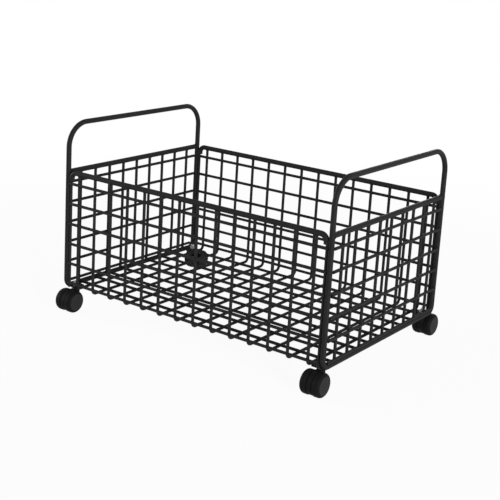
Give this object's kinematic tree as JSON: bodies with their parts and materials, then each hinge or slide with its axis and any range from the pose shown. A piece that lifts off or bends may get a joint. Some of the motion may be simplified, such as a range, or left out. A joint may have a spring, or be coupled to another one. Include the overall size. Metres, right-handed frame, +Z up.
{
  "type": "rolling book cart",
  "caption": "Open-top wire-mesh book cart: a low welded basket hung between looped rod end frames that rise into handles, rolling on swivelling twin-wheel casters.",
  "frame": {"origin": "on the floor, under the middle of the cart", "axes": "+X along the long side to the right end, +Y from the front wall to the back wall, +Z up"},
  "size_m": [0.4338, 0.3094, 0.2655],
  "materials": {
    "black_powder_coat": "satin",
    "black_plastic": "matte",
    "zinc_steel": "dull zinc"
  },
  "bodies": {
    "basket": {"left_end_loop": "black_powder_coat", "left_top_rail": "black_powder_coat", "left_end_uprights": "black_powder_coat", "left_end_cross_wires": "black_powder_coat", "right_end_loop": "black_powder_coat", "right_top_rail": "black_powder_coat", "right_end_uprights": "black_powder_coat", "right_end_cross_wires": "black_powder_coat", "front_top_rail": "black_powder_coat", "front_edge_wires": "black_powder_coat", "front_long_wires": "black_powder_coat", "back_top_rail": "black_powder_coat", "back_edge_wires": "black_powder_coat", "back_long_wires": "black_powder_coat", "u_wires": "black_powder_coat", "floor_long_wires": "black_powder_coat", "front_left_corner_plate": "black_powder_coat", "front_left_caster_stem": "zinc_steel", "front_right_corner_plate": "black_powder_coat", "front_right_caster_stem": "zinc_steel", "back_left_corner_plate": "black_powder_coat", "back_left_caster_stem": "zinc_steel", "back_right_corner_plate": "black_powder_coat", "back_right_caster_stem": "zinc_steel", "caster_nuts": "zinc_steel"},
    "front_left_caster": {"front_left_caster_housing": "black_plastic", "front_left_caster_axle": "zinc_steel"},
    "front_left_caster_left_wheel": {"front_left_caster_left_wheel": "black_plastic"},
    "front_left_caster_right_wheel": {"front_left_caster_right_wheel": "black_plastic"},
    "front_right_caster": {"front_right_caster_housing": "black_plastic", "front_right_caster_axle": "zinc_steel"},
    "front_right_caster_left_wheel": {"front_right_caster_left_wheel": "black_plastic"},
    "front_right_caster_right_wheel": {"front_right_caster_right_wheel": "black_plastic"},
    "back_left_caster": {"back_left_caster_housing": "black_plastic", "back_left_caster_axle": "zinc_steel"},
    "back_left_caster_left_wheel": {"back_left_caster_left_wheel": "black_plastic"},
    "back_left_caster_right_wheel": {"back_left_caster_right_wheel": "black_plastic"},
    "back_right_caster": {"back_right_caster_housing": "black_plastic", "back_right_caster_axle": "zinc_steel"},
    "back_right_caster_left_wheel": {"back_right_caster_left_wheel": "black_plastic"},
    "back_right_caster_right_wheel": {"back_right_caster_right_wheel": "black_plastic"}
  },
  "joints": [
    {"name": "front_left_swivel", "type": "hinge", "parent": "basket", "child": "front_left_caster", "pos_m": [-0.2029, -0.128, 0.03], "axis": [0, 0, 1], "continuous": true},
    {"name": "front_left_left_wheel_spin", "type": "hinge", "parent": "front_left_caster", "child": "front_left_caster_left_wheel", "pos_m": [-0.2029, -0.1395, 0.01525], "axis": [1, 0, 0], "continuous": true},
    {"name": "front_left_right_wheel_spin", "type": "hinge", "parent": "front_left_caster", "child": "front_left_caster_right_wheel", "pos_m": [-0.2029, -0.1395, 0.01525], "axis": [1, 0, 0], "continuous": true},
    {"name": "front_right_swivel", "type": "hinge", "parent": "basket", "child": "front_right_caster", "pos_m": [0.2029, -0.128, 0.03], "axis": [0, 0, 1], "continuous": true},
    {"name": "front_right_left_wheel_spin", "type": "hinge", "parent": "front_right_caster", "child": "front_right_caster_left_wheel", "pos_m": [0.2029, -0.1395, 0.01525], "axis": [1, 0, 0], "continuous": true},
    {"name": "front_right_right_wheel_spin", "type": "hinge", "parent": "front_right_caster", "child": "front_right_caster_right_wheel", "pos_m": [0.2029, -0.1395, 0.01525], "axis": [1, 0, 0], "continuous": true},
    {"name": "back_left_swivel", "type": "hinge", "parent": "basket", "child": "back_left_caster", "pos_m": [-0.2029, 0.128, 0.03], "axis": [0, 0, 1], "continuous": true},
    {"name": "back_left_left_wheel_spin", "type": "hinge", "parent": "back_left_caster", "child": "back_left_caster_left_wheel", "pos_m": [-0.2029, 0.1395, 0.01525], "axis": [1, 0, 0], "continuous": true},
    {"name": "back_left_right_wheel_spin", "type": "hinge", "parent": "back_left_caster", "child": "back_left_caster_right_wheel", "pos_m": [-0.2029, 0.1395, 0.01525], "axis": [1, 0, 0], "continuous": true},
    {"name": "back_right_swivel", "type": "hinge", "parent": "basket", "child": "back_right_caster", "pos_m": [0.2029, 0.128, 0.03], "axis": [0, 0, 1], "continuous": true},
    {"name": "back_right_left_wheel_spin", "type": "hinge", "parent": "back_right_caster", "child": "back_right_caster_left_wheel", "pos_m": [0.2029, 0.1395, 0.01525], "axis": [1, 0, 0], "continuous": true},
    {"name": "back_right_right_wheel_spin", "type": "hinge", "parent": "back_right_caster", "child": "back_right_caster_right_wheel", "pos_m": [0.2029, 0.1395, 0.01525], "axis": [1, 0, 0], "continuous": true}
  ]
}
